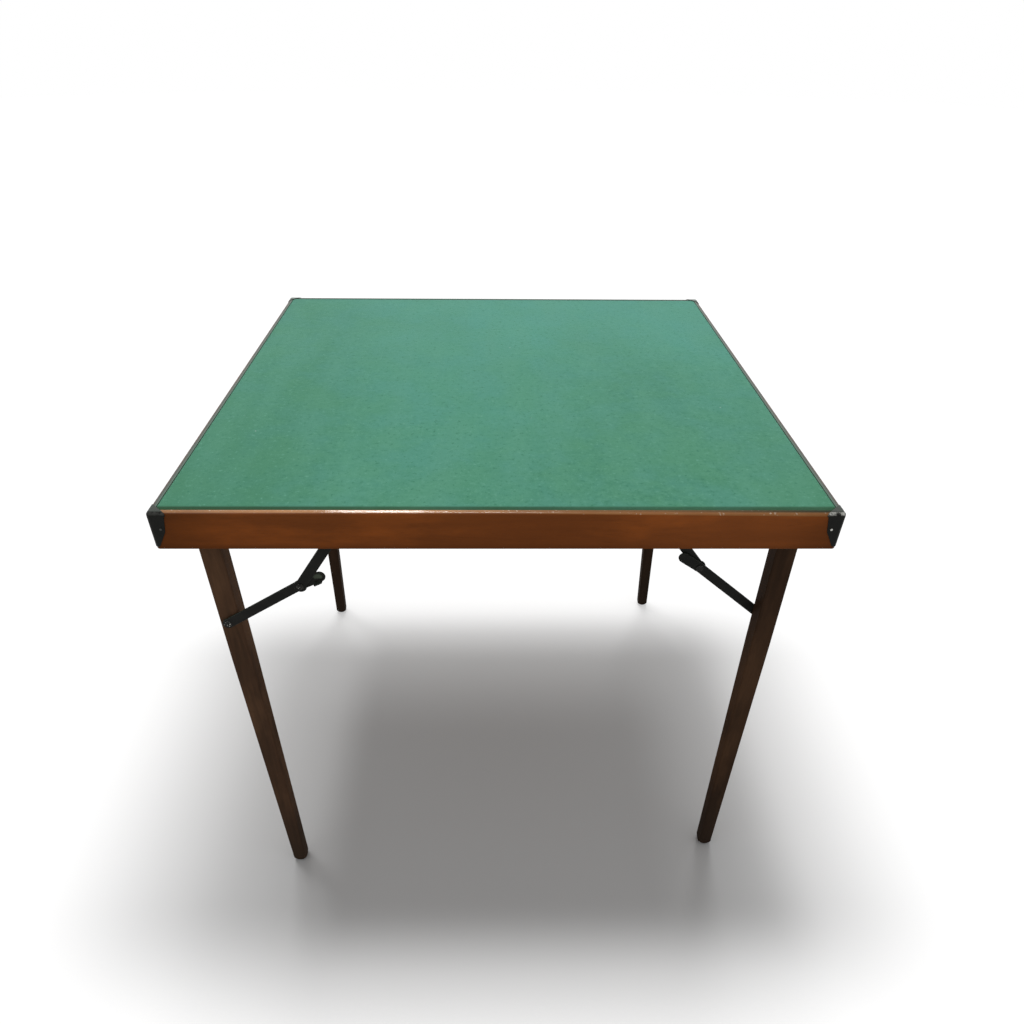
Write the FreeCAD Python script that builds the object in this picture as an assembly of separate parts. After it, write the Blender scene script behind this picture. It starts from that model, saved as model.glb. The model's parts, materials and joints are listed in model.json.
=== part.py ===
import FreeCAD, Part
import math
import os

# Top: a square frame of mitred rails, a thin panel in their rebate and a cloth glued on the panel
top_size = 760.0
table_height = 700.0
rail_height = 47.0
rail_thick = 14.0
edge_round = 4.0
foot_edge_round = 1.5
border_width = 7.0
panel_thick = 5.0
panel_gap = 0.3
cloth_recess = 1.0
cloth_thick = 0.7
cloth_gap = 0.4

# Bearers: two inner bars, housed in the side rails, that carry the far ends of the leg pivots
bearer_thick = 18.0
bearer_height = 36.0
bearer_housing = 4.0

# Steel corner caps and their nails
cap_thick = 0.8
cap_leaf = 20.0
cap_lap = 1.0
cap_shoulder_width = 15.5
cap_shoulder_drop = 24.0
cap_shoulder_round = 6.0
cap_tip_width = 5.0
cap_tip_drop = 43.0
cap_tip_round = 2.0
cap_ease = 0.05
nail_inset = 12.0
nail_drop = 20.0
nail_head_radius = 1.9
nail_head_height = 0.8
nail_shank_radius = 0.8
nail_length = 11.0

# Legs
leg_top = 25.4
leg_foot = 20.0
leg_straight = 218.0
leg_edge_round = 2.2
tip_height = 17.0
tip_flat_radius = 4.5
hinge_depth = 22.0
outer_leg_inset = 46.0
inner_leg_inset = 29.0
leg_gap = 1.1
stay_gap = 12.3

# Leg angles: outward splay when open, and how far short of that one leg stands
outer_splay_degrees = 2.0
inner_splay_degrees = 0.7
front_left_short_degrees = 2.6

# Leg pivots
rod_radius = 3.5
rod_bite = 8.0
tube_wall = 1.3
running_gap = 0.05
seat_gap = 0.02
side_gap = 0.2

# Stays: flat bar links with a knuckle, one pair to each leg
bar_width = 12.7
bar_thick = 2.5
outer_leg_pivot_drop = 153.0
inner_leg_pivot_drop = 188.0
leg_pivot_offset = 2.3
outer_anchor_out = 160.0
inner_anchor_out = 177.0
anchor_depth = 24.0
outer_bend_degrees = 3.0
inner_bend_degrees = 12.0
knuckle_round = 8.0
link_gap = 0.3
tab_length = 34.0
tab_width = 13.5
tab_turn_degrees = 5.0
tab_neck = 9.0
lug_start = 16.5
lug_length = 10.5
lug_thick = 2.0
lug_reach = 4.5
link_edge_ease = 0.35

# Stay fasteners
washer_thick = 1.2
washer_radius = 6.0
screw_radius = 2.6
screw_length = 18.0
screw_point = 4.0
screw_slot_width = 1.1
screw_slot_depth = 0.9
screw_slot_degrees = 35.0
flush_head_radius = 4.6
flush_head_depth = 1.9
anchor_shoulder_radius = 5.0
anchor_shank_radius = 3.0
anchor_bite = 9.0
rivet_radius = 2.5
rivet_head_radius = 4.6
rivet_head_height = 1.9
rivet_tail_height = 0.9

# Domed heads: shares of the radius and of the height, from the rim to the crown
dome_shares = [(0.94, 0.4), (0.72, 0.8), (0.35, 0.97)]

# One overrun serves all cuts
overrun = 2.0

# A lane is the distance from the table's front or back face to the middle of a leg, and what is near
# or far is so from the middle of the leg, towards its stay
half_top = top_size / 2
deck_depth = cloth_recess + panel_thick
inner_half = half_top - rail_thick
hinge_height = table_height - hinge_depth
rail_base = table_height - rail_height
half_leg = leg_top / 2
outer_lane = rail_thick + stay_gap + half_leg
inner_lane = outer_lane + leg_top + leg_gap
bearer_face = inner_lane + half_leg + stay_gap
lower_near = half_leg + washer_thick + side_gap
lower_far = lower_near + bar_thick
upper_near = lower_far + link_gap
upper_far = upper_near + bar_thick
member_face = half_leg + stay_gap

# Each leg unit: its side (left is -1), its end (front is -1), and whether it is the outer leg of its pair
units = {
    "front_left": {"side": -1, "end": -1, "outer": True, "short": front_left_short_degrees},
    "front_right": {"side": 1, "end": -1, "outer": False, "short": 0.0},
    "back_left": {"side": -1, "end": 1, "outer": False, "short": 0.0},
    "back_right": {"side": 1, "end": 1, "outer": True, "short": 0.0},
}


def vec(x, y, z):
    return FreeCAD.Vector(x, y, z)


origin = vec(0, 0, 0)
axis_y = vec(0, 1, 0)
axis_z = vec(0, 0, 1)
across_corner = vec(1, -1, 0)


def box(x0, y0, z0, x1, y1, z1):
    return Part.makeBox(x1 - x0, y1 - y0, z1 - z0, vec(x0, y0, z0))


def cylinder_y(radius, y0, y1, x=0.0, z=0.0):
    return Part.makeCylinder(radius, y1 - y0, vec(x, y0, z), axis_y)


def prism(points, direction):
    wire = Part.makePolygon(points + [points[0]])
    return Part.Face(wire).extrude(direction)


def turned(points, axis):
    wire = Part.makePolygon(points + [points[0]])
    return Part.Face(wire).revolve(origin, axis, 360)


def dome(radius, base, height):
    points = [vec(radius, base, 0)]
    for radius_share, height_share in dome_shares:
        points.append(vec(radius * radius_share, base - height * height_share, 0))
    points.append(vec(0, base - height, 0))
    return points


def export(name, shape):
    if isinstance(shape, list):
        shape = Part.makeCompound(shape)
    shape.exportStep("parts/" + name + ".step")


# Frame block: the outer form of the whole top, which also shapes the rails and the caps
def frame_block(grow):
    half = half_top + grow
    block = box(-half, -half, rail_base, half, half, table_height + grow)
    upright = []
    upper = []
    for edge in block.Edges:
        bounds = edge.BoundBox
        if bounds.ZLength > rail_height / 2:
            upright.append(edge)
        elif bounds.ZMin > rail_base + rail_height / 2:
            upper.append(edge)
    return block.makeFillet(edge_round + grow, upright + upper)


def ring_section():
    rebate_half = half_top - border_width
    above = table_height + overrun
    opening = box(-inner_half, -inner_half, rail_base - overrun, inner_half, inner_half, above)
    rebate = box(-rebate_half, -rebate_half, table_height - deck_depth, rebate_half, rebate_half, above)
    ring = frame_block(0.0).cut(opening).cut(rebate)
    lower = [edge for edge in ring.Edges if on_outer_foot(edge)]
    return ring.makeFillet(foot_edge_round, lower)


def on_outer_foot(edge):
    bounds = edge.BoundBox
    low = abs(bounds.ZMax - rail_base) < seat_gap
    outer = max(abs(bounds.XMin), abs(bounds.XMax), abs(bounds.YMin), abs(bounds.YMax)) > half_top - seat_gap
    long_edge = edge.Length > half_top
    return low and outer and long_edge


def mitre_prism(quarter_turns):
    reach = half_top + overrun
    points = [vec(0, 0, 0), vec(-reach, -reach, 0), vec(reach, -reach, 0)]
    wedge = prism(points, vec(0, 0, rail_height + 2 * overrun))
    wedge.translate(vec(0, 0, rail_base - overrun))
    wedge.rotate(origin, axis_z, 90 * quarter_turns)
    return wedge


# Rails, with the housings for the bearers and the sockets for rods, anchors and nails
def make_rails():
    ring = ring_section()
    for tool in rail_tools():
        ring = ring.cut(tool)
    for turns, name in enumerate(["rail_front", "rail_right", "rail_back", "rail_left"]):
        export(name, ring.common(mitre_prism(turns)))


def rail_tools():
    tools = []
    for end in (-1, 1):
        tools.append(bearer_bar(end))
    for unit in units.values():
        tools.append(rod_socket(unit))
        tools.append(placed(anchor_socket(unit), unit))
    for turns in range(len(cap_names)):
        tools += [at_corner(tool, turns) for tool in nail_sockets()]
    return tools


def bearer_bar(end):
    reach = inner_half + bearer_housing
    top = table_height - deck_depth
    outer = half_top - bearer_face
    inner = outer - bearer_thick
    low, high = sorted([end * outer, end * inner])
    return box(-reach, low, top - bearer_height, reach, high, top)


def make_bearers():
    for end, name in ((-1, "bearer_front"), (1, "bearer_back")):
        bar = bearer_bar(end)
        for unit in units.values():
            if unit["end"] == end:
                bar = bar.cut(rod_socket(unit))
                bar = bar.cut(placed(anchor_socket(unit), unit))
        export(name, bar)


def make_panel():
    half = half_top - border_width - panel_gap
    top = table_height - cloth_recess
    export("top_panel", box(-half, -half, top - panel_thick, half, half, top))


# The cloth's corners are cut off, so that it just clears the three-cornered tops of the caps
def make_cloth():
    half = half_top - border_width - cloth_gap
    corner_cut = cap_leaf + side_gap - 2 * (half_top - half)
    near = half - corner_cut
    quarter = [(-near, -half), (near, -half)]
    outline = []
    for turns in range(len(cap_names)):
        turn = FreeCAD.Rotation(axis_z, 90 * turns)
        outline += [turn.multVec(vec(x, y, 0)) for x, y in quarter]
    sheet = prism(outline, vec(0, 0, cloth_thick))
    sheet.translate(vec(0, 0, table_height - cloth_recess))
    export("baize_top", sheet)


# Corner caps: a thin skin round each corner, with two leaves and a three-cornered top. They are named in
# the order of their quarter turns from the front left corner
cap_names = ["corner_cap_" + place for place in ("front_left", "front_right", "back_right", "back_left")]


def at_corner(shape, quarter_turns):
    copy = shape.copy()
    copy.rotate(origin, axis_z, 90 * quarter_turns)
    return copy


def cap_skin():
    return frame_block(cap_thick).cut(frame_block(cap_ease))


# A leaf narrows a little down to its shoulder, then runs back to a short tip near the corner
def leaf_prism():
    outer = -half_top - cap_thick - overrun
    high = table_height + cap_thick + overrun
    top = (-half_top + cap_leaf, table_height)
    shoulder = (-half_top + cap_shoulder_width, table_height - cap_shoulder_drop)
    tip = (-half_top + cap_tip_width, table_height - cap_tip_drop)
    outline = [(outer, high), (outer, tip[1]), tip, shoulder, top, (top[0], high)]
    points = [vec(x, outer, z) for x, z in outline]
    leaf = prism(points, vec(0, cap_thick + overrun + cap_lap, 0))
    leaf = leaf.makeFillet(cap_shoulder_round, [at for at in leaf.Edges if is_turn(at, shoulder)])
    return leaf.makeFillet(cap_tip_round, [at for at in leaf.Edges if is_turn(at, tip)])


def is_turn(edge, place):
    bounds = edge.BoundBox
    off = max(abs(bounds.XMin - place[0]), abs(bounds.ZMax - place[1]))
    return off < seat_gap and bounds.YLength > seat_gap


def cap_form():
    front = leaf_prism()
    side = front.mirror(origin, across_corner)
    outer = -half_top - cap_thick - overrun
    long_side = -half_top + cap_leaf + cap_thick + overrun
    points = [vec(outer, outer, 0), vec(long_side, outer, 0), vec(outer, long_side, 0)]
    flange = prism(points, vec(0, 0, edge_round + cap_thick + overrun))
    flange.translate(vec(0, 0, table_height - edge_round))
    return front.fuse(side).fuse(flange)


def make_caps():
    cap = cap_skin().common(cap_form())
    for tool in nail_sockets():
        cap = cap.cut(tool)
    for turns, name in enumerate(cap_names):
        export(name, at_corner(cap, turns))


# Nails: one to each leaf, driven through the cap into the rail
def nail_turned(profile):
    front = turned(profile, axis_y)
    front.translate(vec(-half_top + nail_inset, -half_top, table_height - nail_drop))
    return [front, front.mirror(origin, across_corner)]


def nail_sockets():
    radius = nail_shank_radius + seat_gap
    start = -cap_thick - overrun
    end = nail_length + side_gap
    return nail_turned([vec(0, start, 0), vec(radius, start, 0), vec(radius, end, 0), vec(0, end, 0)])


def nail_pair():
    seat = -cap_thick - cap_ease
    point = nail_length - 2 * nail_shank_radius
    shank = [vec(0, nail_length, 0), vec(nail_shank_radius, point, 0), vec(nail_shank_radius, seat, 0)]
    return nail_turned(shank + dome(nail_head_radius, seat, nail_head_height))


def make_nails():
    nails = []
    for turns in range(len(cap_names)):
        nails += [at_corner(nail, turns) for nail in nail_pair()]
    export("corner_cap_nails", nails)


# Places of the leg units: in a unit's own frame the hinge is at the origin, the leg hangs along -Z,
# folds towards +X and has its stay on the -Y side
def hinge_point(unit):
    inset = outer_leg_inset if unit["outer"] else inner_leg_inset
    lane = outer_lane if unit["outer"] else inner_lane
    return vec(unit["side"] * (half_top - inset), unit["end"] * (half_top - lane), hinge_height)


def placed(shape, unit):
    copy = shape.copy()
    if unit["side"] > 0:
        copy.rotate(origin, axis_z, 180)
    copy.translate(hinge_point(unit))
    return copy


def open_lean(unit):
    return -(outer_splay_degrees if unit["outer"] else inner_splay_degrees)


def rest_lean(unit):
    return open_lean(unit) + unit["short"]


def swung(shape, degrees):
    copy = shape.copy()
    copy.rotate(origin, axis_y, -degrees)
    return copy


# Leg pivots: a rod through each leg, from the rail to the bearer, with a tube on each side of the leg
def rod_bar(radius, slack):
    near = member_face + rod_bite + slack
    far = half_leg + leg_gap + leg_top + stay_gap + rod_bite + slack
    return cylinder_y(radius, -near, far)


def rod_socket(unit):
    return placed(rod_bar(rod_radius + seat_gap, side_gap), unit)


def tube(y0, y1):
    outer = cylinder_y(rod_radius + tube_wall, y0, y1)
    return outer.cut(cylinder_y(rod_radius + running_gap, y0 - overrun, y1 + overrun))


def make_leg_pivots():
    tubes = []
    far_face = half_leg + leg_gap + leg_top + stay_gap
    for name, unit in units.items():
        export("leg_pivot_rod_" + name, placed(rod_bar(rod_radius, 0.0), unit))
        tubes.append(placed(tube(-member_face, -half_leg - side_gap), unit))
        tubes.append(placed(tube(half_leg + side_gap, far_face), unit))
    export("leg_pivot_tubes", tubes)


# Legs: square at the top, tapered below the stay and rounded off at the foot
def leg_length(lean):
    tilt = math.radians(abs(lean))
    return (hinge_height - tip_flat_radius * math.sin(tilt)) / math.cos(tilt)


def square_wire(half, z):
    points = [vec(-half, -half, z), vec(half, -half, z), vec(half, half, z), vec(-half, half, z)]
    return Part.makePolygon(points + [points[0]])


def leg_blank(length):
    shank = box(-half_leg, -half_leg, -leg_straight, half_leg, half_leg, half_leg)
    taper = Part.makeLoft([square_wire(half_leg, -leg_straight), square_wire(leg_foot / 2, -length)], True)
    blank = shank.fuse(taper).removeSplitter()
    arrises = [edge for edge in blank.Edges if is_arris(edge)]
    return blank.makeFillet(leg_edge_round, arrises)


def is_arris(edge):
    bounds = edge.BoundBox
    return bounds.ZLength > leg_straight / 2


def tip_form(length):
    reach = leg_top
    wide = leg_foot / 2 * math.sqrt(2)
    start = -length + tip_height
    middle = math.pi / 4
    shape = Part.Wire([
        Part.makeLine(vec(0, 0, half_leg + overrun), vec(reach, 0, half_leg + overrun)),
        Part.makeLine(vec(reach, 0, half_leg + overrun), vec(reach, 0, start + overrun)),
        Part.makeLine(vec(reach, 0, start + overrun), vec(wide, 0, start)),
        Part.Arc(vec(wide, 0, start),
                 vec(tip_flat_radius + (wide - tip_flat_radius) * math.cos(middle), 0,
                     start - tip_height * math.sin(middle)),
                 vec(tip_flat_radius, 0, -length)).toShape(),
        Part.makeLine(vec(tip_flat_radius, 0, -length), vec(0, 0, -length)),
        Part.makeLine(vec(0, 0, -length), vec(0, 0, half_leg + overrun)),
    ])
    return Part.Face(shape).revolve(origin, axis_z, 360)


def leg_head():
    rounded = cylinder_y(half_leg, -half_leg - overrun, half_leg + overrun)
    below = box(-leg_top, -leg_top, -table_height, leg_top, leg_top, 0)
    return rounded.fuse(below)


def leg_solid(unit):
    length = leg_length(rest_lean(unit))
    leg = leg_blank(length).common(tip_form(length)).common(leg_head())
    leg = leg.cut(cylinder_y(rod_radius + running_gap, -leg_top, leg_top))
    end = screw_length - half_leg
    socket = cylinder_y(screw_radius + seat_gap, -leg_top, end, -leg_pivot_offset, -pivot_drop(unit))
    return leg.cut(socket)


# Stay geometry, worked out in the plane of the fold: x towards the fold, z up, from the hinge
def pivot_drop(unit):
    return outer_leg_pivot_drop if unit["outer"] else inner_leg_pivot_drop


def leg_pivot(unit, lean):
    tilt = math.radians(lean)
    drop = pivot_drop(unit)
    x = drop * math.sin(tilt) - leg_pivot_offset * math.cos(tilt)
    z = -drop * math.cos(tilt) - leg_pivot_offset * math.sin(tilt)
    return (x, z)


def anchor_point(unit):
    out = outer_anchor_out if unit["outer"] else inner_anchor_out
    return (out, hinge_depth - anchor_depth)


def distance(a, b):
    return math.hypot(b[0] - a[0], b[1] - a[1])


# Link lengths: folded, the links lie on one line with the knuckle past both pivots; open, they keep
# the named bend at the knuckle
def link_lengths(unit):
    anchor = anchor_point(unit)
    folded = leg_pivot(unit, 90)
    side = 1 if folded[0] > anchor[0] else -1
    excess = side * distance(folded, anchor)
    span = distance(leg_pivot(unit, open_lean(unit)), anchor)
    bend = outer_bend_degrees if unit["outer"] else inner_bend_degrees
    factor = 1 + math.cos(math.radians(bend))
    lower = (math.sqrt(excess ** 2 + 2 * (span ** 2 - excess ** 2) / factor) - excess) / 2
    return lower, lower + excess


def knuckle_point(unit):
    lower, upper = link_lengths(unit)
    start = leg_pivot(unit, rest_lean(unit))
    anchor = anchor_point(unit)
    span = distance(start, anchor)
    along = (span ** 2 + lower ** 2 - upper ** 2) / (2 * span)
    off = math.sqrt(lower ** 2 - along ** 2)
    ux = (anchor[0] - start[0]) / span
    uz = (anchor[1] - start[1]) / span
    return (start[0] + along * ux + off * uz, start[1] + along * uz - off * ux)


def heading(a, b):
    return math.degrees(math.atan2(b[1] - a[1], b[0] - a[0]))


def in_plane(shape, start, degrees):
    copy = swung(shape, degrees)
    copy.translate(vec(start[0], 0, start[1]))
    return copy


# Links: bars with round ends and eased edges, the lower one with a thumb tab past the knuckle, whose
# lug is turned over towards the user
def bar(length, near, far, end_round):
    half = bar_width / 2
    body = box(0, -far, -half, length, -near, half)
    body = body.fuse(cylinder_y(half, -far, -near))
    return body.fuse(cylinder_y(end_round, -far, -near, length))


def eased(plate, near, far):
    plate = plate.removeSplitter()
    rim = [edge for edge in plate.Edges if on_broad_face(edge, near, far)]
    return plate.makeChamfer(link_edge_ease, rim)


def on_broad_face(edge, near, far):
    bounds = edge.BoundBox
    level = -bounds.Center.y
    flat = bounds.YLength < seat_gap
    return flat and min(abs(level - near), abs(level - far)) < seat_gap


def drilled(shape, x, radius):
    return shape.cut(cylinder_y(radius, -member_face, -half_leg, x))


def upper_link(unit):
    length = link_lengths(unit)[1]
    link = eased(bar(length, upper_near, upper_far, knuckle_round), upper_near, upper_far)
    link = drilled(link, 0, anchor_shank_radius + running_gap)
    return drilled(link, length, rivet_radius + seat_gap)


def thumb_tab():
    half = tab_width / 2
    neck = bar_width / 2
    points = [
        vec(0, -lower_far, -neck),
        vec(tab_neck, -lower_far, -half),
        vec(tab_length - half, -lower_far, -half),
        vec(tab_length - half, -lower_far, half),
        vec(tab_neck, -lower_far, half),
        vec(0, -lower_far, neck),
    ]
    tab = prism(points, vec(0, bar_thick, 0))
    return tab.fuse(cylinder_y(half, -lower_far, -lower_near, tab_length - half))


def thumb_lug():
    low = -tab_width / 2
    return box(lug_start, -lower_far - lug_reach, low, lug_start + lug_length, -lower_near, low + lug_thick)


def at_knuckle(shape, length):
    copy = swung(shape, -tab_turn_degrees)
    copy.translate(vec(length, 0, 0))
    return copy


def lower_link(unit):
    length = link_lengths(unit)[0]
    plate = bar(length, lower_near, lower_far, bar_width / 2).fuse(at_knuckle(thumb_tab(), length))
    link = eased(plate, lower_near, lower_far).fuse(at_knuckle(thumb_lug(), length)).removeSplitter()
    link = drilled(link, 0, screw_radius + running_gap).cut(flush_cone(running_gap))
    return drilled(link, length, rivet_radius + seat_gap)


# The screws have flush heads, because the upper links fold over them
def flush_cone(slack):
    start = vec(0, -lower_far, 0)
    return Part.makeCone(flush_head_radius + slack, screw_radius + slack, flush_head_depth, start, axis_y)


# Fasteners of the stays, each turned about its own axis along Y
def leg_screw():
    tip = screw_length - half_leg - side_gap
    shoulder = tip - screw_point
    profile = [vec(0, tip, 0), vec(screw_radius, shoulder, 0), vec(screw_radius, -lower_far, 0)]
    shank = turned(profile + [vec(0, -lower_far, 0)], axis_y)
    screw = shank.fuse(flush_cone(0.0)).removeSplitter()
    half = screw_slot_width / 2
    floor = screw_slot_depth - lower_far
    slot = box(-washer_radius, -lower_far - overrun, -half, washer_radius, floor, half)
    return screw.cut(swung(slot, screw_slot_degrees))


def leg_washer():
    outer = -half_leg - washer_thick
    ring = cylinder_y(washer_radius, outer, -half_leg)
    return ring.cut(cylinder_y(screw_radius + seat_gap, outer - overrun, overrun - half_leg))


def anchor_shank(slack):
    radius = anchor_shank_radius + slack
    return cylinder_y(radius, -member_face - anchor_bite - slack, -upper_near)


def anchor_stud(unit):
    shoulder = cylinder_y(anchor_shoulder_radius, -member_face, -upper_far - side_gap)
    stud = anchor_shank(0.0).fuse(shoulder).removeSplitter()
    return in_plane(stud, anchor_point(unit), 0)


def anchor_socket(unit):
    return in_plane(anchor_shank(seat_gap), anchor_point(unit), 0)


def rivet_head_half():
    shank = cylinder_y(rivet_radius, -upper_far, -upper_near)
    profile = [vec(0, -upper_far, 0)] + dome(rivet_head_radius, -upper_far, rivet_head_height)
    return shank.fuse(turned(profile, axis_y))


def rivet_tail_half():
    shank = cylinder_y(rivet_radius, -lower_far, -lower_near)
    return shank.fuse(cylinder_y(rivet_head_radius, -lower_near, rivet_tail_height - lower_near))


def unit_pieces(unit):
    lean = rest_lean(unit)
    pivot = leg_pivot(unit, lean)
    anchor = anchor_point(unit)
    knuckle = knuckle_point(unit)
    return {
        "leg_": swung(leg_solid(unit), lean),
        "stay_screw_": in_plane(leg_screw(), pivot, 0),
        "stay_washer_": in_plane(leg_washer(), pivot, 0),
        "stay_lower_": in_plane(lower_link(unit), pivot, heading(pivot, knuckle)),
        "stay_upper_": in_plane(upper_link(unit), anchor, heading(anchor, knuckle)),
        "knuckle_rivet_head_": in_plane(rivet_head_half(), knuckle, 0),
        "knuckle_rivet_tail_": in_plane(rivet_tail_half(), knuckle, 0),
    }


def make_leg_units():
    for name, unit in units.items():
        for piece, shape in unit_pieces(unit).items():
            export(piece + name, placed(shape, unit))
    export("stay_anchor_studs", [placed(anchor_stud(unit), unit) for unit in units.values()])


os.makedirs("parts", exist_ok=True)
make_rails()
make_bearers()
make_panel()
make_cloth()
make_caps()
make_nails()
make_leg_pivots()
make_leg_units()
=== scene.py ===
import json
import math
import bmesh
import bpy
from mathutils import Matrix, Vector, noise


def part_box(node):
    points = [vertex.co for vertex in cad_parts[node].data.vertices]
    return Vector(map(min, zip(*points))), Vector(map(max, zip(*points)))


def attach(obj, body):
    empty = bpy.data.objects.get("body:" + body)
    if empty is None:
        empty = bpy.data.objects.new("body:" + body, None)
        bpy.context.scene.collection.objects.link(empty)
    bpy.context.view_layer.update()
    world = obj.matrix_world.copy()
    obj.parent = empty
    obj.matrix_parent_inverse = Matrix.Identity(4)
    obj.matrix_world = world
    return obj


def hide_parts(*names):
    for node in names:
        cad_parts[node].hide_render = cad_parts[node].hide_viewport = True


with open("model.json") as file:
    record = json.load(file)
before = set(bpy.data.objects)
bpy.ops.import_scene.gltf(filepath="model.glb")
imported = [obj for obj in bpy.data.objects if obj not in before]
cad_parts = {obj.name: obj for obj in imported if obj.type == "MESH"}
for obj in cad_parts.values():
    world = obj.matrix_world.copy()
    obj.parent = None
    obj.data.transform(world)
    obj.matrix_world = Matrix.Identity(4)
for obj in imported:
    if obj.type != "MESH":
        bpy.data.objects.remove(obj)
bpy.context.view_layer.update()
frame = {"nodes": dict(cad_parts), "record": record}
nodes = frame["nodes"]
print("frame loaded,", len(nodes), "pieces")


# node helpers

def emptyFinish(name):
    material = bpy.data.materials.new(name)
    material.use_nodes = True
    material.node_tree.nodes.clear()
    return material, material.node_tree


def showSurface(tree, surface):
    output = tree.nodes.new("ShaderNodeOutputMaterial")
    tree.links.new(surface, output.inputs["Surface"])


def newFinish(name):
    material, tree = emptyFinish(name)
    shader = tree.nodes.new("ShaderNodeBsdfPrincipled")
    showSurface(tree, shader.outputs["BSDF"])
    return material, tree, shader


def feed(tree, socket, value):
    if isinstance(value, bpy.types.NodeSocket):
        tree.links.new(value, socket)
    elif socket.type == "RGBA":
        socket.default_value = (*value[:3], 1.0)
    else:
        socket.default_value = value


def addNode(tree, kind, inputs, **settings):
    node = tree.nodes.new("ShaderNode" + kind)
    for key, value in settings.items():
        setattr(node, key, value)
    for key, value in inputs.items():
        feed(tree, node.inputs[key], value)
    return node


def setShader(tree, shader, values):
    for key, value in values.items():
        feed(tree, shader.inputs[key], value)


def spot(tree, stretch=(1, 1, 1), shift=(0, 0, 0)):
    # a place on the piece, in the table's own metres
    coordinates = addNode(tree, "TexCoord", {})
    mapping = addNode(tree, "Mapping", {"Vector": coordinates.outputs["Object"],
                                        "Scale": stretch, "Location": shift})
    return mapping.outputs["Vector"]


def noiseAt(tree, where, scale, detail=3.0, roughness=0.5, distortion=0.0):
    texture = addNode(tree, "TexNoise", {"Vector": where, "Scale": scale, "Detail": detail,
                                         "Roughness": roughness, "Distortion": distortion})
    return texture.outputs["Fac"]


def remap(tree, value, low, high, toLow=0.0, toHigh=1.0):
    node = addNode(tree, "MapRange", {"Value": value, "From Min": low, "From Max": high,
                                      "To Min": toLow, "To Max": toHigh})
    return node.outputs["Result"]


def sums(tree, operation, *values):
    return addNode(tree, "Math", dict(enumerate(values)), operation=operation).outputs[0]


def times(tree, first, second):
    return sums(tree, "MULTIPLY", first, second)


def scaled(tree, colour, level):
    node = addNode(tree, "VectorMath", {0: colour, "Scale": level}, operation="SCALE")
    return node.outputs["Vector"]


def lengthOf(tree, vector):
    return addNode(tree, "VectorMath", {0: vector}, operation="LENGTH").outputs["Value"]


def blendColours(tree, share, first, second):
    node = addNode(tree, "Mix", {}, data_type="RGBA")
    feed(tree, node.inputs[0], share)
    feed(tree, node.inputs[6], first)
    feed(tree, node.inputs[7], second)
    return node.outputs[2]


def layer(tree, base, value, span, colour):
    # the colour lies over the base as the value runs through the span
    return blendColours(tree, remap(tree, value, *span), base, colour)


def bumpFrom(tree, height, strength, distance, below=None):
    inputs = {"Height": height, "Strength": strength, "Distance": distance}
    if below is not None:
        inputs["Normal"] = below
    return addNode(tree, "Bump", inputs).outputs["Normal"]


def partOf(tree, output, axis):
    coordinates = addNode(tree, "TexCoord", {})
    return addNode(tree, "SeparateXYZ", {"Vector": coordinates.outputs[output]}).outputs[axis]


def axisOf(tree, axis):
    return partOf(tree, "Object", axis)


def facingOf(tree, axis):
    # how far the surface faces along the piece's own axis
    return partOf(tree, "Normal", axis)


def awayFrom(tree, axis, place):
    return sums(tree, "ABSOLUTE", sums(tree, "SUBTRACT", axisOf(tree, axis), place))


def squareReach(tree):
    # how far out a place lies, the same all along a square round the table's middle
    return sums(tree, "MAXIMUM", awayFrom(tree, "X", 0.0), awayFrom(tree, "Y", 0.0))


def fromOval(tree, oval):
    # 0 at the oval's middle and 1 on its rim
    stretch = [1 / reach for reach in oval["reach"]]
    shift = [-place / reach for place, reach in zip(oval["place"], oval["reach"])]
    return lengthOf(tree, spot(tree, stretch, shift))


def edgeShare(tree, radius, start, full):
    # 0 on flat ground, 1 on an edge: how far a rounded normal leans from the real one
    rounded = addNode(tree, "Bevel", {"Radius": radius}, samples=8)
    surface = addNode(tree, "NewGeometry", {})
    lean = addNode(tree, "VectorMath", {0: rounded.outputs["Normal"], 1: surface.outputs["Normal"]},
                   operation="DOT_PRODUCT")
    return remap(tree, lean.outputs["Value"], start, full)


# wood

railLook = {
    "deep": (0.165, 0.048, 0.0125),
    "warm": (0.250, 0.070, 0.016),
    "light": (0.38, 0.100, 0.018),
    "pore": (0.06, 0.019, 0.005),
    "worn": (0.43, 0.20, 0.075),
    "chip": (0.66, 0.52, 0.40),
    "figure": 0.4,         # how strongly the figure, the pores and the patches stand out
    "pores": 0.25,
    "patches": 0.7,
    "shift": 0.6,          # moves the patches
    "stretch": 14.0,       # how much longer than wide the figure is
    "ior": 1.3,
    "shine": 0.03,
    "gloss": 0.4,
    "coatGloss": 0.07,
}

legLook = {
    "deep": (0.050, 0.029, 0.018),
    "warm": (0.094, 0.049, 0.028),
    "light": (0.140, 0.073, 0.039),
    "pore": (0.027, 0.024, 0.020),
    "worn": (0.15, 0.09, 0.045),
    "figure": 0.6,
    "pores": 0.2,
    "patches": 0.9,
    "shift": 0.0,
    "stretch": 16.0,
    "ior": 1.15,
    "shine": 0.02,
    "gloss": 0.5,
    "coatGloss": 0.25,
}

bearerLook = {
    "deep": (0.19, 0.105, 0.05),
    "warm": (0.33, 0.2, 0.1),
    "light": (0.45, 0.3, 0.17),
    "pore": (0.11, 0.06, 0.03),
    "figure": 1.0,
    "pores": 0.6,
    "patches": 0.5,
    "shift": 0.0,
    "stretch": 18.0,
    "ior": 1.45,
    "shine": 0.2,
    "gloss": 0.7,
}

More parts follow.
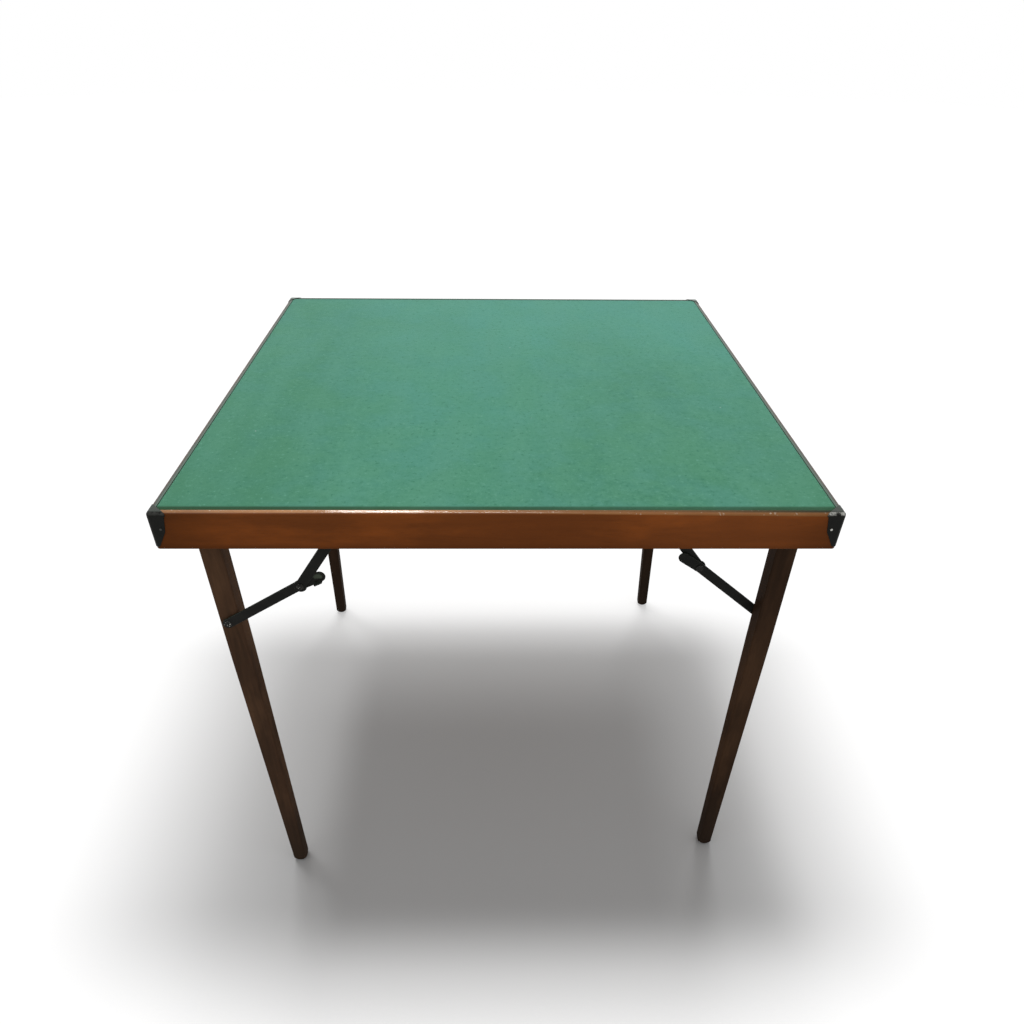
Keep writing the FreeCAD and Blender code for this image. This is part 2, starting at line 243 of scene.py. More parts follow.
grain = {
    "figure": (7.0, 6.0, 0.6, 0.9),      # noises: scale, detail, roughness, distortion
    "fine": (38.0, 4.0, 0.7, 0.3),
    "pores": (110.0, 2.0),
    "patches": (4.5, 4.0, 0.6),
    "scuffs": (55.0, 5.0, 0.65),
    "haze": (24.0, 4.0, 0.6),
    "dents": (70.0, 2.0),
    "ripples": (16.0, 2.0),
    "patchStretch": 3.0,
    "figureSpan": (0.36, 0.64),          # spans: the noise levels between which a colour comes
    "lightSpan": (0.5, 0.66),
    "deepSpan": (0.34, 0.5),
    "fineSpan": (0.35, 0.68),
    "fineShare": 0.45,
    "poreSpan": (0.6, 0.72),
    "grimeAndShadeShare": 0.6,
    "grimeSpan": (0.35, 0.6, 0.5, 1.0),
    "wornEdge": (0.0018, 0.985, 0.9),    # radius, then where the wear starts and is full
    "scuffSpan": (0.5, 0.66),
    "hazeSpan": (0.3, 0.7),
    "hazeRange": (-0.06, 0.12),
    "poreBump": (0.25, 0.0002),          # bumps: strength and depth
    "dentBump": (0.12, 0.0004),
    "rippleBump": (0.04, 0.0003),
}

edgeWear = {
    "rub": (26.0, 4.0, 0.6),
    "rubSpan": (0.3, 0.62),
    "thinnest": 0.6,       # how much of the wear is left where the rubbing is least
    "chips": (210.0, 3.0, 0.6),
    "chipSpan": (0.63, 0.68),
}

railEnds = {"middle": 0.02, "span": (0.3, 0.38, 0.0, 0.6)}


def shadedCopy(look, level):
    # painted shade: a darker copy of the same wood
    woods = ("deep", "warm", "light", "worn")
    return {key: tuple(part * level for part in value) if key in woods else value
            for key, value in look.items()}


def grainStretch(axis, amount):
    stretch = [amount, amount, amount]
    stretch[axis] = 1.0
    return stretch


def railFace(tree, look, edge, axis, base):
    if "pale" in edge:
        # the face is paler round one place, and darker towards its foot
        level = remap(tree, awayFrom(tree, "X", edge["pale"]), *edge["paleSpan"])
        level = times(tree, level, remap(tree, axisOf(tree, "Z"), *edge["footSpan"]))
        base = scaled(tree, base, level)
    toEnds = awayFrom(tree, axis, railEnds["middle"])
    return layer(tree, base, toEnds, railEnds["span"], look["pore"])


def railEdge(tree, look, edge, base):
    # the rounded upper edge: rubbed down to bare wood, and chipped here and there
    height = axisOf(tree, "Z")
    if "lean" in edge:
        # the rubbed line runs lower down the edge towards the right, and soil takes its place
        toRight = remap(tree, axisOf(tree, "X"), *edge["lean"])
        height = sums(tree, "ADD", height, times(tree, toRight, edge["drop"]))
    crest = remap(tree, height, *edge["wornSpan"])
    rub = noiseAt(tree, spot(tree), *edgeWear["rub"])
    least = edge["worn"] * edgeWear["thinnest"]
    share = times(tree, crest, remap(tree, rub, *edgeWear["rubSpan"], least, edge["worn"]))
    rubbed = edge["colour"]
    # painted highlight: the rubbed colour is paler round the brightest place, and darker away from
    # it
    if "bright" in edge:
        level = remap(tree, awayFrom(tree, "X", edge["bright"]), *edge["fadeSpan"])
        rubbed = scaled(tree, rubbed, level)
    base = blendColours(tree, share, base, rubbed)
    chips = noiseAt(tree, spot(tree), *edgeWear["chips"])
    chipShare = remap(tree, chips, *edgeWear["chipSpan"], 0.0, edge["chips"])
    base = blendColours(tree, times(tree, crest, chipShare), base, look["chip"])
    if "inner" in edge:
        innerShare = remap(tree, squareReach(tree), *edge["innerSpan"])
        base = blendColours(tree, times(tree, crest, innerShare), base, edge["inner"])
    if "lean" in edge:
        inward = sums(tree, "ADD", axisOf(tree, "Y"), times(tree, toRight, edge["soilLean"]))
        soiled = times(tree, toRight, remap(tree, inward, *edge["soilSpan"]))
        base = blendColours(tree, soiled, base, edge["soil"])
    return base


def edgeCoat(tree, edge, polish):
    # the polish of the upper edge fades out away from its brightest place
    edgePolish = edge["polish"]
    if "bright" in edge:
        away = awayFrom(tree, "X", edge["bright"])
        edgePolish = remap(tree, away, *edge["brightSpan"], edgePolish, edge["dull"])
    return remap(tree, axisOf(tree, "Z"), *edge["glossSpan"], polish, edgePolish)


def varnishLean(tree, edge, below):
    # the varnish leans a little towards the front, so that it catches the lamp
    inner, outer, soften = edge["slopeSpan"]
    place = sums(tree, "MINIMUM", axisOf(tree, "Y"), inner)
    place = sums(tree, "SMOOTH_MAX", place, outer, soften)
    return bumpFrom(tree, times(tree, place, edge["slope"]), 1.0, 1.0, below)


def woodFinish(name, look, axis, polish=0.0, wearLevel=0.0, dirtAndShadeSpan=None, edge=None):
    material, tree, shader = newFinish(name)
    along = spot(tree, grainStretch(axis, look["stretch"]))
    broad = spot(tree, grainStretch(axis, grain["patchStretch"]), (0.0, 0.0, look["shift"]))
    anywhere = spot(tree)
    figure = noiseAt(tree, along, *grain["figure"])
    fine = noiseAt(tree, along, *grain["fine"])
    pores = noiseAt(tree, along, *grain["pores"])
    patches = noiseAt(tree, broad, *grain["patches"])
    plain = 0.5 - 0.5 * look["figure"]
    fineShare = grain["fineShare"] * look["figure"]
    layers = (
        (figure, "figureSpan", plain, 1 - plain, "warm"),
        (patches, "lightSpan", 0.0, look["patches"], "light"),
        (patches, "deepSpan", look["patches"], 0.0, "deep"),
        (fine, "fineSpan", fineShare, 0.0, "deep"),
        (pores, "poreSpan", 0.0, look["pores"], "pore"),
    )
    base = look["deep"]
    for value, span, least, most, colour in layers:
        base = layer(tree, base, value, (*grain[span], least, most), look[colour])
    # darker towards the bottom of the piece: partly dirt, partly painted shade
    if dirtAndShadeSpan:
        grime = remap(tree, axisOf(tree, "Z"), *dirtAndShadeSpan, grain["grimeAndShadeShare"], 0.0)
        grime = times(tree, grime, remap(tree, patches, *grain["grimeSpan"]))
        base = blendColours(tree, grime, base, look["pore"])
    if wearLevel:
        scuffs = noiseAt(tree, anywhere, *grain["scuffs"])
        wear = times(tree, edgeShare(tree, *grain["wornEdge"]),
                     remap(tree, scuffs, *grain["scuffSpan"], 0.0, wearLevel))
        base = blendColours(tree, wear, base, look["worn"])
    coat = polish
    if edge:
        base = railEdge(tree, look, edge, railFace(tree, look, edge, axis, base))
        coat = edgeCoat(tree, edge, polish)
    haze = noiseAt(tree, anywhere, *grain["haze"])
    roughRange = [look["gloss"] + change for change in grain["hazeRange"]]
    relief = bumpFrom(tree, pores, *grain["poreBump"])
    dents = noiseAt(tree, anywhere, *grain["dents"])
    relief = bumpFrom(tree, dents, *grain["dentBump"], relief)
    setShader(tree, shader, {"Base Color": base, "Normal": relief,
                             "Roughness": remap(tree, haze, *grain["hazeSpan"], *roughRange),
                             "Specular IOR Level": look["shine"], "IOR": look["ior"]})
    if polish:
        varnish = bumpFrom(tree, noiseAt(tree, along, *grain["ripples"]), *grain["rippleBump"])
        if edge and "slope" in edge:
            varnish = varnishLean(tree, edge, varnish)
        setShader(tree, shader, {"Coat Weight": coat, "Coat Roughness": look["coatGloss"],
                                 "Coat Normal": varnish})
    return material


# baize

baizeLook = {
    "deep": (0.052, 0.208, 0.125),
    "body": (0.089, 0.291, 0.182),
    "pale": (0.130, 0.358, 0.248),
    "blue": (0.098, 0.303, 0.250),
    "olive": (0.104, 0.310, 0.155),
    "fadedAndSheen": (0.135, 0.455, 0.375),
    "corner": (0.070, 0.225, 0.122),
    "rim": (0.022, 0.060, 0.022),
    "lint": (0.42, 0.56, 0.5),
    "sheen": (0.52, 0.95, 0.92),
    "sheenRough": 0.3,
    "rough": 0.95,
    "shine": 0.1,
    "clouds": (5.0, 3.0, 0.55),          # noises: scale, detail, roughness, distortion
    "nap": (24.0, 3.0, 0.5),
    "mottle": (95.0, 4.0, 0.7),
    "fibres": (900.0, 3.0, 0.8, 1.2),
    "stain": (14.0, 4.0, 0.6),
    "flecks": (170.0, 3.0, 0.75),
    "napStretch": (1.0, 0.16, 1.0),
    "stainShift": (3.0, 1.0, 0.0),
    "ground": (                          # layers: noise, span and colour
        ("mottle", (0.3, 0.72), "pale"),
        ("clouds", (0.3, 0.7, 0.35, 0.75), "body"),
        ("stain", (0.5, 0.62, 0.0, 0.4), "blue"),
        ("stain", (0.38, 0.5, 0.3, 0.0), "olive")),
    "hairs": (
        ("nap", (0.42, 0.66, 0.0, 0.35), "pale"),
        ("fibres", (0.35, 0.7, 0.35, 0.0), "deep"),
        ("flecks", (0.3, 0.43, 1.0, 0.0), "deep"),
        ("flecks", (0.58, 0.7, 0.0, 0.9), "pale")),
    "fadesAndSheen": (
        {"place": (0.12, 0.33, 0.0), "reach": (0.48, 0.34, 1.0), "share": 0.78},
        {"place": (-0.045, 0.02, 0.0), "reach": (0.23, 0.48, 1.0), "share": 0.55},
        {"place": (0.36, 0.12, 0.0), "reach": (0.14, 0.36, 1.0), "share": 0.4}),
    "fadeRagged": (0.3, 0.7, -0.15, 0.15),
    "fadeSpan": (0.2, 1.2),
    "cornerMiddle": 0.04,
    "cornerStart": 0.22,
    "cornerBeyond": 0.02,
    "cornerBack": 0.05,
    "cornerShares": (0.08, 0.75),
    "lintCells": 42.0,
    "lintSpan": (0.03, 0.055, 1.0, 0.0),
    "lintChance": (0.93, 0.94),
    "lintShare": 0.7,
    "sideRim": 0.0012,
    "sideShare": 0.12,
    "frontRim": (0.0095, 0.0055),
    "frontShare": 0.9,
    "frontPatchy": (0.3, 0.6, 0.75, 1.0),
    "mottleBump": (0.35, 0.0006),        # bumps: strength and depth
    "fibreBump": (0.5, 0.00025),
}


def lintSpecks(tree, look, where):
    # few cells hold a speck
    cells = addNode(tree, "TexVoronoi", {"Vector": where, "Scale": look["lintCells"],
                                         "Randomness": 1.0})
    chance = addNode(tree, "SeparateColor", {"Color": cells.outputs["Color"]})
    return times(tree, remap(tree, cells.outputs["Distance"], *look["lintSpan"]),
                 remap(tree, chance.outputs["Red"], *look["lintChance"]))


def paintedRimShade(tree, look, halfWidth, clouds):
    # painted shade: the cloth is darker where it dips to the border, and along the front, in
    # patches
    sides = remap(tree, squareReach(tree), halfWidth - look["sideRim"], halfWidth,
                  0.0, look["sideShare"])
    toFront = times(tree, axisOf(tree, "Y"), -1.0)
    frontSpan = [halfWidth - inset for inset in look["frontRim"]]
    front = remap(tree, toFront, *frontSpan, 0.0, look["frontShare"])
    front = times(tree, front, remap(tree, clouds, *look["frontPatchy"]))
    return sums(tree, "MAXIMUM", sides, front)


def baizeFinish(look, halfWidth):
    material, tree, shader = newFinish("baizeWool")
    where = spot(tree)
    places = {"nap": spot(tree, look["napStretch"]), "stain": spot(tree, shift=look["stainShift"])}
    noises = {name: noiseAt(tree, places.get(name, where), *look[name])
              for name in ("clouds", "nap", "mottle", "fibres", "stain", "flecks")}
    base = look["deep"]
    for name, span, colour in look["ground"]:
        base = layer(tree, base, noises[name], span, look[colour])
    # paler towards the back and along the middle: partly faded by daylight, partly painted sheen
    for fade in look["fadesAndSheen"]:
        ragged = remap(tree, noises["clouds"], *look["fadeRagged"])
        away = sums(tree, "ADD", fromOval(tree, fade), ragged)
        base = layer(tree, base, away, (*look["fadeSpan"], fade["share"], 0.0), look["fadedAndSheen"])
    sideward = remap(tree, awayFrom(tree, "X", look["cornerMiddle"]),
                     look["cornerStart"], halfWidth + look["cornerBeyond"])
    forward = remap(tree, axisOf(tree, "Y"), look["cornerBack"], -halfWidth, *look["cornerShares"])
    base = blendColours(tree, times(tree, sideward, forward), base, look["corner"])
    for name, span, colour in look["hairs"]:
        base = layer(tree, base, noises[name], span, look[colour])
    specks = times(tree, lintSpecks(tree, look, where), look["lintShare"])
    base = blendColours(tree, specks, base, look["lint"])
    base = blendColours(tree, paintedRimShade(tree, look, halfWidth, noises["clouds"]), base, look["rim"])
    felt = bumpFrom(tree, noises["mottle"], *look["mottleBump"])
    felt = bumpFrom(tree, noises["fibres"], *look["fibreBump"], felt)
    setShader(tree, shader, {"Base Color": base, "Roughness": look["rough"], "Normal": felt,
                             "Specular IOR Level": look["shine"], "Sheen Weight": 1.0,
                             "Sheen Roughness": look["sheenRough"], "Sheen Tint": look["sheen"]})
    return material


baizeSpec = {
    "cornerCut": 0.0054,
    "rimInsets": (0.0, 0.0002, 0.0005, 0.0009, 0.0014, 0.002, 0.0028),
    "fieldInset": 0.006,
    "fieldStep": 0.008,
    "dip": 0.00035,
    "dipWidth": 0.0026,
    "sway": 0.00005,
    "swayScale": 22.0,
    "cutSway": 0.00012,
    "cutScale": 160.0,
}


def baizeLines(half, spec):
    # lines close together at the rim, where the cloth dips, and wide apart in the field
    rims = [half - inset for inset in spec["rimInsets"]]
    field = half - spec["fieldInset"]
    count = math.ceil(2 * field / spec["fieldStep"])
    inner = [-field + 2 * field * step / count for step in range(count + 1)]
    return [-line for line in rims] + inner + rims[::-1]


def clothPoint(x, y, high, half, spec):
    # the cloth dips at its rim, sways a little, and isn't cut quite straight
    inset = half - max(abs(x), abs(y))
    dip = spec["dip"] * max(0.0, 1.0 - inset / spec["dipWidth"]) ** 2
    sway = noise.noise(Vector((x, y, 0.0)) * spec["swayScale"]) * spec["sway"]
    edge = noise.noise(Vector((x, y, 1.0)) * spec["cutScale"]) * spec["cutSway"]
    pull = 1.0 + (edge - spec["cutSway"]) * (inset < spec["dipWidth"]) / half
    return x * pull, y * pull, high - dip - spec["sway"] + sway


def clothFaces(last, top):
    # the upper side, the lower side and the strip round the rim
    width = last + 1
    faces = []
    for row in range(last):
        for column in range(last):
            corner = row * width + column
            quad = (corner, corner + 1, corner + width + 1, corner + width)
            faces.append(quad)
            faces.append(tuple(top + vert for vert in reversed(quad)))
    ring = list(range(last))
    ring += [last + row * width for row in range(last)]
    ring += [last * width + last - column for column in range(last)]
    ring += [(last - row) * width for row in range(last)]
    for index, vert in enumerate(ring):
        after = ring[(index + 1) % len(ring)]
        faces.append((vert, top + vert, top + after, after))
    return faces


def cutCorners(mesh, half, cut):
    work = bmesh.new()
    work.from_mesh(mesh)
    for signX in (-1, 1):
        for signY in (-1, 1):
            outward = Vector((signX, signY, 0.0)).normalized()
            onCut = Vector((signX * half, signY * (half - cut), 0.0))
            geometry = work.verts[:] + work.edges[:] + work.faces[:]
            bmesh.ops.bisect_plane(work, geom=geometry, plane_co=onCut, plane_no=outward,
                                   clear_outer=True)
            openEdges = [edge for edge in work.edges if edge.is_boundary]
            bmesh.ops.holes_fill(work, edges=openEdges, sides=0)
    work.to_mesh(mesh)
    work.free()


def makeBaize(spec):
    low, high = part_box("baize_top")
    half = high.x
    lines = baizeLines(half, spec)
    verts = [clothPoint(x, y, high.z, half, spec) for y in lines for x in lines]
    top = len(verts)
    verts += [(x, y, low.z) for x, y, z in verts]
    mesh = bpy.data.meshes.new("baize_cloth")
    mesh.from_pydata(verts, [], clothFaces(len(lines) - 1, top))
    mesh.update()
    cutCorners(mesh, half, spec["cornerCut"])
    for face in mesh.polygons:
        face.use_smooth = True
    cloth = bpy.data.objects.new("baize_cloth", mesh)
    bpy.context.scene.collection.objects.link(cloth)
    cloth.data.materials.append(baizeFinish(baizeLook, half))
    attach(cloth, "table_top")
    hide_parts("baize_top")


makeBaize(baizeSpec)
print("baize made")


# metal

blackLook = {
    "paint": (0.011, 0.0115, 0.0105),
    "dust": (0.035, 0.034, 0.030),
    "rust": (0.042, 0.021, 0.011),
    "steel": (0.42, 0.42, 0.39),
    "topDustAndSheen": (0.040, 0.050, 0.040),
}
# the back caps' tops are paler still: partly dust, partly painted sheen
dustAndSheenLook = {**blackLook, "topDustAndSheen": (0.15, 0.19, 0.16)}

paintGrain = {
    "clouds": (60.0, 5.0, 0.6),
    "grit": (420.0, 4.0, 0.7),
    "scuffs": (190.0, 4.0, 0.65),
    "dustSpan": (0.45, 0.75),
    "rustSpan": (0.58, 0.75, 0.0, 0.4),
    "roughSpan": (0.3, 0.7, 0.38, 0.58),
    "gritBump": (0.25, 0.0001),
    "cloudBump": (0.1, 0.0004),
    "shine": 0.06,
}

stayWear = {
    "edge": (0.0007, 0.98, 0.86),
    "scuffSpan": (0.4, 0.58),
    "topSpan": (0.3, 0.8, 0.0, 0.9),
    "level": 0.3,
    "dust": 0.4,
}

capWear = {
    "fold": ((0.2, 0.45), (0.97, 0.85)),
    "brightSpan": (-0.2, 0.2, 0.1, 1.0),
    "scuffSpan": (0.42, 0.56),
    "topSpan": (0.9, 0.99, 0.0, 0.9),
    "level": 0.9,
    "dust": 0.3,
    "coatSpan": (0.9, 0.99, 0.0, 0.4),
    "coatGloss": 0.18,
}

paintedTabHighlight = {
    "place": (-0.2131, 0.0, 0.599),
    "reach": (0.0062, 1.0, 0.0042),
    "colour": (0.085, 0.105, 0.075),
    "ragged": (0.3, 0.7, -0.3, 0.3),
    "span": (0.7, 1.1, 0.85, 0.0),
}


def wornPlaces(tree, wear, up):
    if "fold" not in wear:
        return edgeShare(tree, *wear["edge"])
    # a cap's paint is worn through along its fold, and most on the right
    rising, falling = wear["fold"]
    fold = times(tree, remap(tree, up, *rising), remap(tree, up, *falling))
    return times(tree, fold, remap(tree, axisOf(tree, "X"), *wear["brightSpan"]))


def blackSteelFinish(name, look, wear, paintedHighlight=None):
    # the last argument gives a painted highlight: a lighter patch on a stay's tab
    material, tree, shader = newFinish(name)
    where = spot(tree)
    clouds = noiseAt(tree, where, *paintGrain["clouds"])
    grit = noiseAt(tree, where, *paintGrain["grit"])
    scuffs = noiseAt(tree, where, *paintGrain["scuffs"])
    up = facingOf(tree, "Z")
    dustSpan = (*paintGrain["dustSpan"], 0.0, wear["dust"])
    base = layer(tree, look["paint"], clouds, dustSpan, look["dust"])
    base = layer(tree, base, grit, paintGrain["rustSpan"], look["rust"])
    # paler tops: partly dust, partly painted sheen
    base = layer(tree, base, up, wear["topSpan"], look["topDustAndSheen"])
    # painted highlight on the tab
    if paintedHighlight:
        away = sums(tree, "ADD", fromOval(tree, paintedHighlight), remap(tree, scuffs, *paintedHighlight["ragged"]))
        base = layer(tree, base, away, paintedHighlight["span"], paintedHighlight["colour"])
    bare = times(tree, wornPlaces(tree, wear, up), remap(tree, scuffs, *wear["scuffSpan"]))
    bare = times(tree, bare, wear["level"])
    base = blendColours(tree, bare, base, look["steel"])
    relief = bumpFrom(tree, grit, *paintGrain["gritBump"])
    relief = bumpFrom(tree, clouds, *paintGrain["cloudBump"], relief)
    setShader(tree, shader, {"Base Color": base, "Metallic": bare, "Normal": relief,
                             "Roughness": remap(tree, clouds, *paintGrain["roughSpan"]),
                             "Specular IOR Level": paintGrain["shine"]})
    if "coatSpan" in wear:
        setShader(tree, shader, {"Coat Weight": remap(tree, up, *wear["coatSpan"]),
                                 "Coat Roughness": wear["coatGloss"], "Coat Normal": relief})
    return material


headGrain = {
    "clouds": (300.0, 4.0, 0.6),
    "rubs": (520.0, 2.0, 0.5),
    "rubSpan": (0.59, 0.65),
    "domeSpan": (0.93, 0.98),
    "brightSpan": (-0.1, 0.1, 0.12, 1.0),
    "dustSpan": (0.4, 0.7, 0.0, 0.6),
    "roughSpan": (0.3, 0.7, 0.3, 0.5),
    "bump": (0.3, 0.0001),
    "shine": 0.1,
}


def nailTop(tree):
    # a nail is rubbed bright at the top of its dome, and most on the right
    sideways = sums(tree, "MAXIMUM", sums(tree, "ABSOLUTE", facingOf(tree, "X")),
                    sums(tree, "ABSOLUTE", facingOf(tree, "Y")))
    dome = remap(tree, sideways, *headGrain["domeSpan"])
    return times(tree, dome, remap(tree, axisOf(tree, "X"), *headGrain["brightSpan"]))


def headFinish(name, look, nails=False, rubbedLevel=1.0):
    # black paint rubbed through to small bright spots
    material, tree, shader = newFinish(name)
    where = spot(tree)
    clouds = noiseAt(tree, where, *headGrain["clouds"])
    if nails:
        rubbed = nailTop(tree)
    else:
        rubbed = remap(tree, noiseAt(tree, where, *headGrain["rubs"]), *headGrain["rubSpan"])
    rubbed = times(tree, rubbed, rubbedLevel)
    base = layer(tree, look["paint"], clouds, headGrain["dustSpan"], look["dust"])
    base = blendColours(tree, rubbed, base, look["steel"])
    setShader(tree, shader, {"Base Color": base, "Metallic": rubbed,
                             "Roughness": remap(tree, clouds, *headGrain["roughSpan"]),
                             "Normal": bumpFrom(tree, clouds, *headGrain["bump"]),
                             "Specular IOR Level": headGrain["shine"]})
    return material


brightLook = {
    "steel": (0.42, 0.41, 0.38),
    "tarnish": (0.13, 0.12, 0.10),
    "grime": (0.02, 0.018, 0.015),
    "clouds": (240.0, 4.0, 0.6),
    "grit": (900.0, 3.0, 0.6),
    "tarnishSpan": (0.35, 0.65),
    "grimeSpan": (0.5, 0.7, 0.0, 0.25),
    "roughSpan": (0.3, 0.7, 0.28, 0.5),
    "bump": (0.2, 0.00008),
}


def brightSteelFinish(name, look):
    material, tree, shader = newFinish(name)
    where = spot(tree)
    clouds = noiseAt(tree, where, *look["clouds"])
    grit = noiseAt(tree, where, *look["grit"])
    base = layer(tree, look["steel"], clouds, look["tarnishSpan"], look["tarnish"])
    base = layer(tree, base, grit, look["grimeSpan"], look["grime"])
    setShader(tree, shader, {"Base Color": base, "Metallic": 1.0,
                             "Roughness": remap(tree, clouds, *look["roughSpan"]),
                             "Normal": bumpFrom(tree, grit, *look["bump"])})
    return material


# finishes of the frame's own pieces

railLow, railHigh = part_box("rail_front")
xAxis, yAxis, zAxis = range(3)      # which way the grain runs

railWear = {"polish": 0.02, "wearLevel": 0.3, "dirtAndShadeSpan": (railLow.z, railLow.z + 0.008)}
legWear = {"polish": 0.02, "wearLevel": 0.35, "dirtAndShadeSpan": (0.0, 0.2)}

frontEdge = {
    "colour": railLook["worn"],
    "worn": 0.95,
    "chips": 0.7,
    "wornSpan": (railHigh.z - 0.0009, railHigh.z - 0.0003),
    "polish": 0.95,
    "glossSpan": (railHigh.z - 0.0015, railHigh.z - 0.0006),
    "slope": 0.432,
    "slopeSpan": (railLow.y + 0.0056, railLow.y + 0.0032, 0.0008),
    "bright": -0.17,       # where the edge is brightest, with a painted highlight on its colour and the most polish, and how it dulls away from there
    "brightSpan": (0.14, 0.26),
    "dull": 0.3,
    "fadeSpan": (0.08, 0.22, 1.15, 0.76),
    "pale": 0.26,          # where the face is palest
    "paleSpan": (0.03, 0.14, 1.22, 0.95),
    "footSpan": (railLow.z, railHigh.z, 0.92, 1.04),
    "lean": (0.0, 0.36),   # where the rubbed line starts to sink, and is lowest
    "drop": 0.0030,
    "soil": (0.018, 0.026, 0.010),
    "soilLean": 0.0014,
    "soilSpan": (railLow.y + 0.0025, railLow.y + 0.005),
}

plainEdge = {
    "colour": (0.085, 0.083, 0.074),
    "worn": 0.95,
    "chips": 0.1,
    "wornSpan": (railHigh.z - 0.0013, railHigh.z - 0.0005),
    "polish": 0.4,
    "glossSpan": (railHigh.z - 0.0008, railHigh.z - 0.0002),
    "inner": (0.120, 0.190, 0.152),
    "innerSpan": (railHigh.x - 0.0022, railHigh.x - 0.0050, 0.0, 0.9),
}

# painted shade: the back and side rails and the right and back legs get darker copies of the wood
shadedBackRail, shadedSideRail = shadedCopy(railLook, 0.7), shadedCopy(railLook, 0.85)
shadedRightLeg, shadedBackLeg = shadedCopy(legLook, 0.6), shadedCopy(legLook, 0.55)
dullHead = headFinish("paintedHeadSteel", blackLook, rubbedLevel=0.15)

# by the name of a piece, or by the name that slotFinish and finishOf give
finishes = {
    "rail_front": woodFinish("railVarnishFront", railLook, xAxis, edge=frontEdge, **railWear),
    "rail_back": woodFinish("railVarnishBackShaded", shadedBackRail, xAxis, edge=plainEdge, **railWear),
    "rail_side": woodFinish("railVarnishSideShaded", shadedSideRail, yAxis, edge=plainEdge, **railWear),
    "leg_front_left": woodFinish("legVarnish", legLook, zAxis, **legWear),
    "leg_front_right": woodFinish("legVarnishRightShaded", shadedRightLeg, zAxis, **legWear),
    "leg_back": woodFinish("legVarnishBackShaded", shadedBackLeg, zAxis, **legWear),
    "bearer": woodFinish("bearerWood", bearerLook, xAxis),
    "board": woodFinish("boardWood", bearerLook, yAxis),
    "black": blackSteelFinish("blackStaySteel", blackLook, stayWear),
    "stay_lower_front_left": blackSteelFinish("blackTabSteel", blackLook, stayWear, paintedTabHighlight),
    "cap_front": blackSteelFinish("blackCapSteel", blackLook, capWear),
    "cap_back": blackSteelFinish("dustAndSheenCapSteel", dustAndSheenLook, capWear),
    "corner_cap_nails": headFinish("wornNailSteel", blackLook, nails=True),
    "worn": headFinish("wornHeadSteel", blackLook),
    "knuckle_rivet_head_front_right": dullHead,
    "knuckle_rivet_tail_front_right": dullHead,
    "plain": brightSteelFinish("plainRodSteel", brightLook),
}
slotFinish = {
    "rail_wood": "rail_side",
    "leg_wood": "leg_back",
    "bearer_wood": "bearer",
    "board": "board",
    "black_steel": "black",
    "worn_steel": "worn",
    "plain_steel": "plain",
}


def finishOf(name, slot):
    for side in ("front", "back"):
        if name.startswith("corner_cap_" + side):
            return finishes["cap_" + side]
    return finishes.get(name, finishes[slotFinish[slot]])


for row in frame["record"]["subparts"]:
    if row["material_slot"] != "baize":
        for place in nodes[row["node"]].material_slots:
            place.material = finishOf(row["node"], row["material_slot"])
print("finishes set")


# floor, light and camera

stageLook = {
    "floorRadius": 14.0,
    "floorSides": 96,
    "floorColour": (0.6, 0.6, 0.6),
    "floorLift": 0.51,                  # a glow for what the camera sees, so that the open floor is white; it is left out round the table, so it partly paints the shadow's outline
    "shadeMiddle": (0.0, -0.145),
    "shadeReach": (0.392, 0.274),       # no lift within this: a painted shadow round the table, over its cast shadow
    "shadeFade": (0.388, 0.245),
    "skyLevel": 0.49,
    "white": (1, 1, 1),
}


def seenDirectly(tree):
    path = addNode(tree, "LightPath", {})
    seen = sums(tree, "MAXIMUM", path.outputs["Is Camera Ray"], path.outputs["Is Glossy Ray"])
    return sums(tree, "MAXIMUM", seen, path.outputs["Is Transmission Ray"])


def outsidePaintedShadow(tree, look):
    # painted shadow: 0 in an oval round the table, where its shadow lies, and 1 beyond it
    sides = zip("XY", look["shadeMiddle"], look["shadeReach"], look["shadeFade"])
    beyond = {axis: remap(tree, awayFrom(tree, axis, middle), reach, reach + 2 * width, 0.0, 2.0)
              for axis, middle, reach, width in sides}
    away = lengthOf(tree, addNode(tree, "CombineXYZ", beyond).outputs["Vector"])
    fade = addNode(tree, "MapRange", {"Value": away, "From Min": 0.0, "From Max": 1.0},
                   interpolation_type="SMOOTHSTEP")
    return fade.outputs["Result"]


def makeFloor(look):
    material, tree = emptyFinish("paleFloor")
    ground = addNode(tree, "BsdfDiffuse", {"Color": look["floorColour"]})
    seen = times(tree, seenDirectly(tree), look["floorLift"])
    lift = addNode(tree, "Emission", {"Color": look["white"],
                                      "Strength": times(tree, seen, outsidePaintedShadow(tree, look))})
    both = addNode(tree, "AddShader", {0: ground.outputs[0], 1: lift.outputs[0]})
    showSurface(tree, both.outputs[0])
    bpy.ops.mesh.primitive_circle_add(vertices=look["floorSides"], radius=look["floorRadius"],
                                      fill_type="NGON")
    floor = bpy.context.object
    floor.name = "floor"
    floor.data.materials.append(material)


def makeSky(look):
    world = bpy.data.worlds.new("sky")
    bpy.context.scene.world = world
    world.use_nodes = True
    tree = world.node_tree
    background = tree.nodes["Background"]
    level = remap(tree, seenDirectly(tree), 0.0, 1.0, look["skyLevel"], 1.0)
    feed(tree, background.inputs["Color"], look["white"])
    feed(tree, background.inputs["Strength"], level)


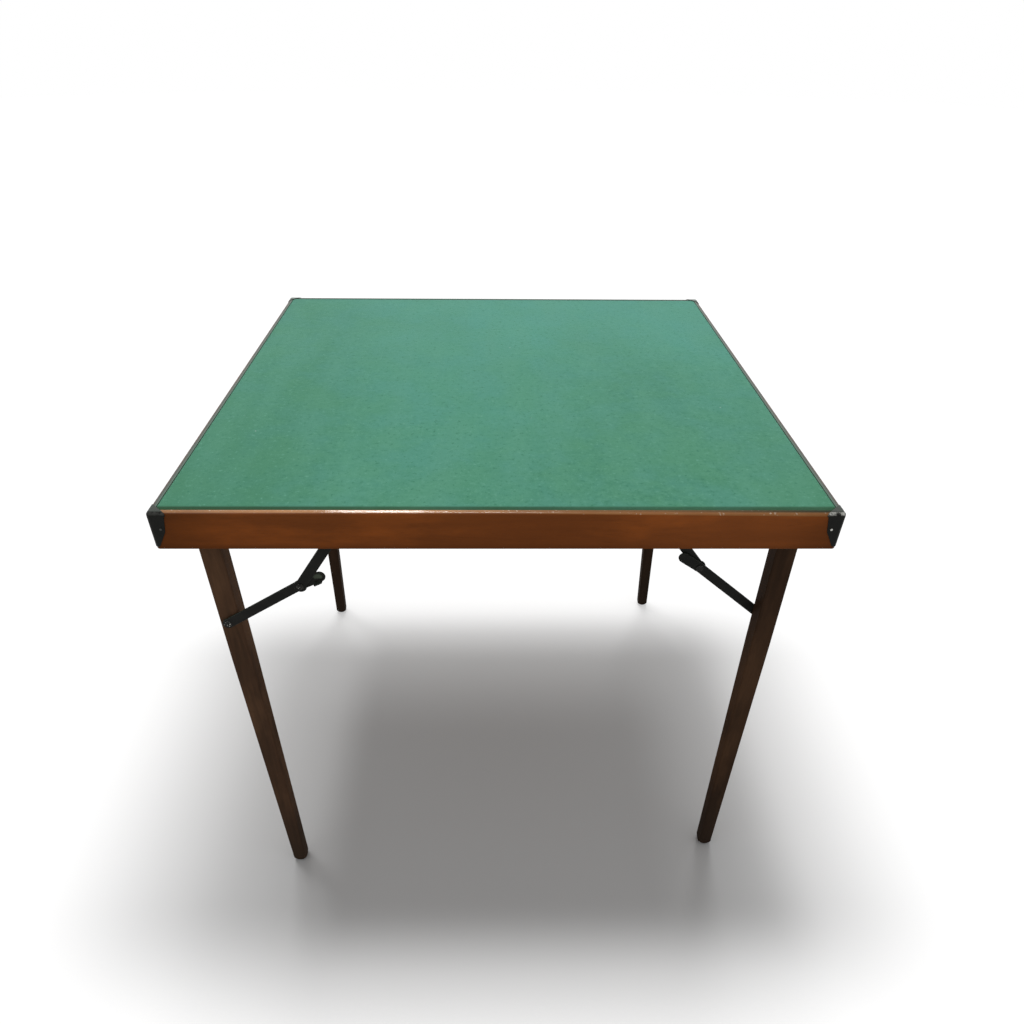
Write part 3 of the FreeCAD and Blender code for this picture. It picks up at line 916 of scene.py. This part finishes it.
lamps = {
    "wideLamp": {"strength": 1.03, "angle": 20.0, "fromBack": 25.0, "fromLeft": 0.0},
    "smallLamp": {"strength": 0.5, "angle": 8.0, "fromBack": 9.6, "fromLeft": 8.5},
}


def makeLamps(specs):
    for name, spec in specs.items():
        light = bpy.data.lights.new(name, "SUN")
        light.energy = spec["strength"]
        light.angle = math.radians(spec["angle"])
        lamp = bpy.data.objects.new(name, light)
        bpy.context.scene.collection.objects.link(lamp)
        back = math.tan(math.radians(spec["fromBack"]))
        left = math.tan(math.radians(spec["fromLeft"]))
        towards = Vector((-left, back, 1.0))
        lamp.rotation_mode = "QUATERNION"
        lamp.rotation_quaternion = towards.to_track_quat("Z", "Y")


photoWidth = 1024
view = {
    "place": (-0.00986, -1.07809, 1.13272),
    "pitch": 38.2577,                   # degrees down from level
    "yaw": -1.0352,
    "roll": 0.5830,
    "lens": 26.5195,
    "sensor": 36.0,
    "shift": (12 / photoWidth, 87 / photoWidth),
    "clip": (0.05, 60.0),
}


def makeCamera(view):
    pitch, yaw, roll = (math.radians(view[key]) for key in ("pitch", "yaw", "roll"))
    forward = Vector((-math.sin(yaw) * math.cos(pitch), math.cos(yaw) * math.cos(pitch),
                      -math.sin(pitch)))
    level = Vector((math.cos(yaw), math.sin(yaw), 0.0))
    upright = level.cross(forward)
    right = math.cos(roll) * level + math.sin(roll) * upright
    up = -math.sin(roll) * level + math.cos(roll) * upright
    lens = bpy.data.cameras.new("camera")
    lens.sensor_width = view["sensor"]
    lens.lens = view["lens"]
    lens.shift_x, lens.shift_y = view["shift"]
    lens.clip_start, lens.clip_end = view["clip"]
    camera = bpy.data.objects.new("camera", lens)
    bpy.context.scene.collection.objects.link(camera)
    turn = Matrix((right, up, -forward)).transposed()
    camera.rotation_mode = "QUATERNION"
    camera.rotation_quaternion = turn.to_quaternion()
    camera.location = view["place"]
    bpy.context.scene.camera = camera


makeFloor(stageLook)
makeSky(stageLook)
makeLamps(lamps)
makeCamera(view)
bpy.context.scene.view_settings.view_transform = "Standard"
print("stage set")
